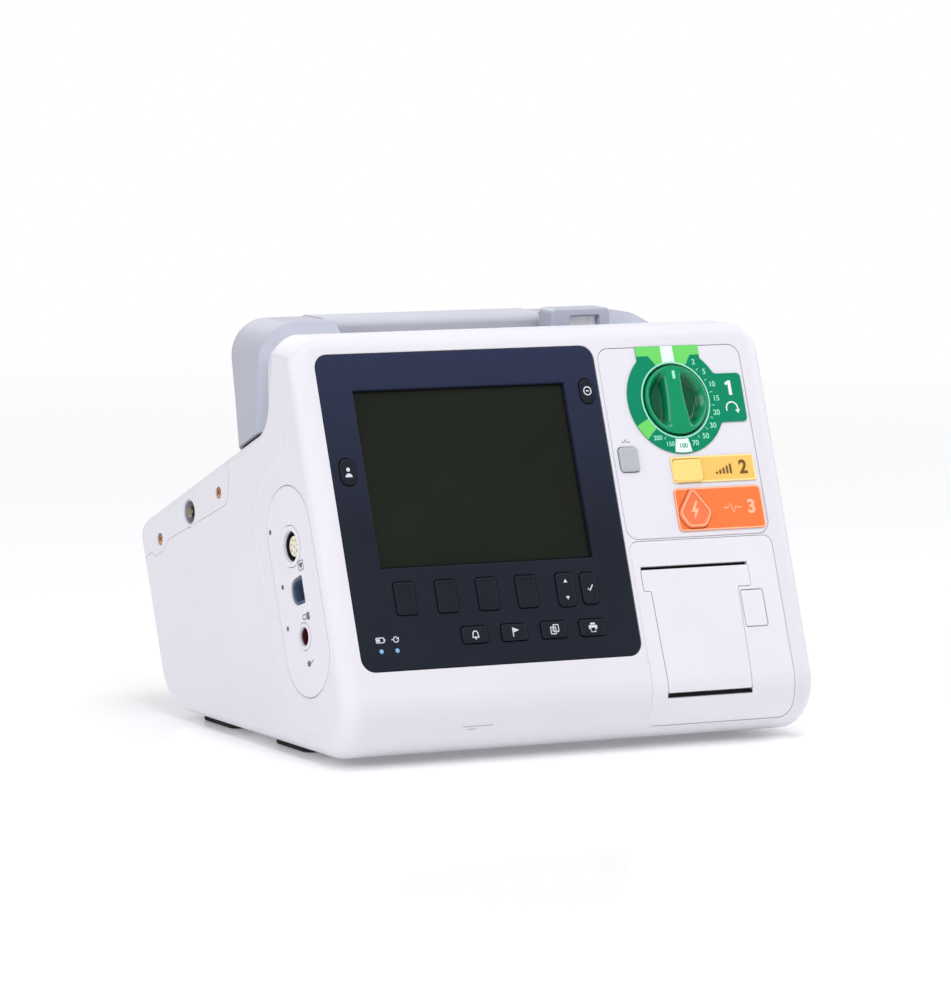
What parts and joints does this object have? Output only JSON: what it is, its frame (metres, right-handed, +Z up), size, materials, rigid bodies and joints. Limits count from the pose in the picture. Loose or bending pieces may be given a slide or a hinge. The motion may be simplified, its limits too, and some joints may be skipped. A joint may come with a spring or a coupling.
{
  "type": "monitor defibrillator",
  "caption": "Portable hospital monitor defibrillator: leaning front with screen, keys, energy knob, charge and shock buttons, strip printer, side patient ports, carry grip and battery.",
  "frame": {"origin": "middle of the footprint, on the surface the feet stand on", "axes": "+X to the operator's right along the width, +Y from the screen side to the back, +Z up"},
  "size_m": [0.34, 0.2908, 0.2675],
  "materials": {
    "white_plastic": "satin off-white moulded plastic",
    "navy_key": "satin navy key cap",
    "grey_plastic": "fine textured grey plastic",
    "black_plastic": "black plastic",
    "yellow_key": "satin amber-yellow plastic",
    "yellow_label": "printed yellow film",
    "brass_screw": "plated screw",
    "green_label": "printed green film",
    "navy_plastic": "satin navy plastic",
    "rubber": "matt black rubber",
    "circuit_board": "green solder mask",
    "plated_steel": "plated steel",
    "module_frame": "thin sheet frame round the display stack",
    "screen_glass": "dark coated screen window",
    "paper": "thermal paper",
    "clear_lens": "translucent lens",
    "orange_key": "satin orange plastic",
    "orange_label": "printed orange film",
    "blue_socket": "grey-blue plastic",
    "sync_grey": "grey plastic",
    "green_knob": "glossy green plastic"
  },
  "bodies": {
    "case": {"charge_label": "yellow_label", "cover_screw_left_1": "brass_screw", "cover_screw_left_2": "brass_screw", "cover_screw_right_1": "brass_screw", "cover_screw_right_2": "brass_screw", "dial_label": "green_label", "display_bezel": "navy_plastic", "ecg_socket": "white_plastic", "energy_capacitor": "black_plastic", "foot_1": "rubber", "foot_2": "rubber", "foot_3": "rubber", "foot_4": "rubber", "front_case": "white_plastic", "handle_grip": "grey_plastic", "handle_hood": "grey_plastic", "key_board": "circuit_board", "lcd_module": "module_frame", "lcd_window": "screen_glass", "main_board": "circuit_board", "nibp_fitting": "plated_steel", "port_panel_left": "white_plastic", "print_head": "plated_steel", "printer_frame": "white_plastic", "ready_indicator": "clear_lens", "rear_case": "white_plastic", "rotary_switch": "black_plastic", "shock_label": "orange_label", "speaker": "black_plastic", "spo2_socket": "blue_socket", "status_lights": "clear_lens", "stud_left": "plated_steel", "stud_right": "plated_steel", "therapy_panel": "white_plastic", "therapy_socket": "black_plastic", "top_cover": "white_plastic"},
    "knob": {"therapy_knob": "green_knob", "switch_shaft": "plated_steel"},
    "nav_key": {"nav_key": "navy_key"},
    "printer_door": {"printer_door": "white_plastic"},
    "platen_roller": {"platen_roller": "rubber"},
    "paper_roll": {"paper_roll": "paper"},
    "door_latch": {"door_latch": "white_plastic"},
    "battery_pack": {"battery_pack": "black_plastic"},
    "battery_latch": {"battery_latch": "grey_plastic"},
    "power_module": {"power_module": "black_plastic"},
    "soft_key_1": {"soft_key_1": "navy_key"},
    "soft_key_2": {"soft_key_2": "navy_key"},
    "soft_key_3": {"soft_key_3": "navy_key"},
    "soft_key_4": {"soft_key_4": "navy_key"},
    "select_key": {"select_key": "navy_key"},
    "alarm_key": {"alarm_key": "navy_key"},
    "event_key": {"event_key": "navy_key"},
    "report_key": {"report_key": "navy_key"},
    "print_key": {"print_key": "navy_key"},
    "patient_key": {"patient_key": "navy_key"},
    "lead_key": {"lead_key": "navy_key"},
    "sync_button": {"sync_button": "sync_grey"},
    "charge_button": {"charge_button": "yellow_key"},
    "shock_button": {"shock_button": "orange_key"}
  },
  "joints": [
    {"name": "therapy_knob_turn", "type": "hinge", "parent": "case", "child": "knob", "pos_m": [0.0986, -0.07962, 0.21258], "axis": [0, 0.9336, -0.3584], "range_deg": [-22, 228]},
    {"name": "soft_key_1_press", "type": "slide", "parent": "case", "child": "soft_key_1", "axis": [0, 0.9336, -0.3584], "range_m": [0, 0.0012], "stiffness_N_per_m": 1500},
    {"name": "soft_key_2_press", "type": "slide", "parent": "case", "child": "soft_key_2", "axis": [0, 0.9336, -0.3584], "range_m": [0, 0.0012], "stiffness_N_per_m": 1500},
    {"name": "soft_key_3_press", "type": "slide", "parent": "case", "child": "soft_key_3", "axis": [0, 0.9336, -0.3584], "range_m": [0, 0.0012], "stiffness_N_per_m": 1500},
    {"name": "soft_key_4_press", "type": "slide", "parent": "case", "child": "soft_key_4", "axis": [0, 0.9336, -0.3584], "range_m": [0, 0.0012], "stiffness_N_per_m": 1500},
    {"name": "select_key_press", "type": "slide", "parent": "case", "child": "select_key", "axis": [0, 0.9336, -0.3584], "range_m": [0, 0.0012], "stiffness_N_per_m": 1500},
    {"name": "alarm_key_press", "type": "slide", "parent": "case", "child": "alarm_key", "axis": [0, 0.9336, -0.3584], "range_m": [0, 0.0012], "stiffness_N_per_m": 1500},
    {"name": "event_key_press", "type": "slide", "parent": "case", "child": "event_key", "axis": [0, 0.9336, -0.3584], "range_m": [0, 0.0012], "stiffness_N_per_m": 1500},
    {"name": "report_key_press", "type": "slide", "parent": "case", "child": "report_key", "axis": [0, 0.9336, -0.3584], "range_m": [0, 0.0012], "stiffness_N_per_m": 1500},
    {"name": "print_key_press", "type": "slide", "parent": "case", "child": "print_key", "axis": [0, 0.9336, -0.3584], "range_m": [0, 0.0012], "stiffness_N_per_m": 1500},
    {"name": "patient_key_press", "type": "slide", "parent": "case", "child": "patient_key", "axis": [0, 0.9336, -0.3584], "range_m": [0, 0.0012], "stiffness_N_per_m": 1500},
    {"name": "lead_key_press", "type": "slide", "parent": "case", "child": "lead_key", "axis": [0, 0.9336, -0.3584], "range_m": [0, 0.0012], "stiffness_N_per_m": 1500},
    {"name": "sync_button_press", "type": "slide", "parent": "case", "child": "sync_button", "axis": [0, 0.9336, -0.3584], "range_m": [0, 0.0015], "stiffness_N_per_m": 1800},
    {"name": "charge_button_press", "type": "slide", "parent": "case", "child": "charge_button", "axis": [0, 0.9336, -0.3584], "range_m": [0, 0.0015], "stiffness_N_per_m": 1800},
    {"name": "shock_button_press", "type": "slide", "parent": "case", "child": "shock_button", "axis": [0, 0.9336, -0.3584], "range_m": [0, 0.0015], "stiffness_N_per_m": 1800},
    {"name": "nav_key_rock", "type": "hinge", "parent": "case", "child": "nav_key", "pos_m": [-0.004, -0.11935, 0.10068], "axis": [1, 0, 0], "range_deg": [-3, 3], "stiffness_Nm_per_rad": 0.25},
    {"name": "printer_door_open", "type": "hinge", "parent": "case", "child": "printer_door", "pos_m": [0, -0.14353, 0.03713], "axis": [1, 0, 0], "range_deg": [0, 95]},
    {"name": "platen_roller_spin", "type": "hinge", "parent": "printer_door", "child": "platen_roller", "pos_m": [0.0905, -0.11239, 0.10208], "axis": [1, 0, 0], "continuous": true},
    {"name": "paper_roll_spin", "type": "hinge", "parent": "case", "child": "paper_roll", "pos_m": [0.0905, -0.10454, 0.06394], "axis": [1, 0, 0], "continuous": true},
    {"name": "door_latch_press", "type": "slide", "parent": "case", "child": "door_latch", "axis": [0, 0.9336, -0.3584], "range_m": [0, 0.002], "stiffness_N_per_m": 1500},
    {"name": "battery_pack_slide", "type": "slide", "parent": "case", "child": "battery_pack", "axis": [0, 0.9336, -0.3584], "range_m": [0, 0.1]},
    {"name": "battery_latch_slide", "type": "slide", "parent": "battery_pack", "child": "battery_latch", "axis": [0, 0.3584, 0.9336], "range_m": [0, 0.004], "stiffness_N_per_m": 800},
    {"name": "power_module_slide", "type": "slide", "parent": "case", "child": "power_module", "axis": [0, 0.9336, -0.3584], "range_m": [0, 0.1]}
  ]
}
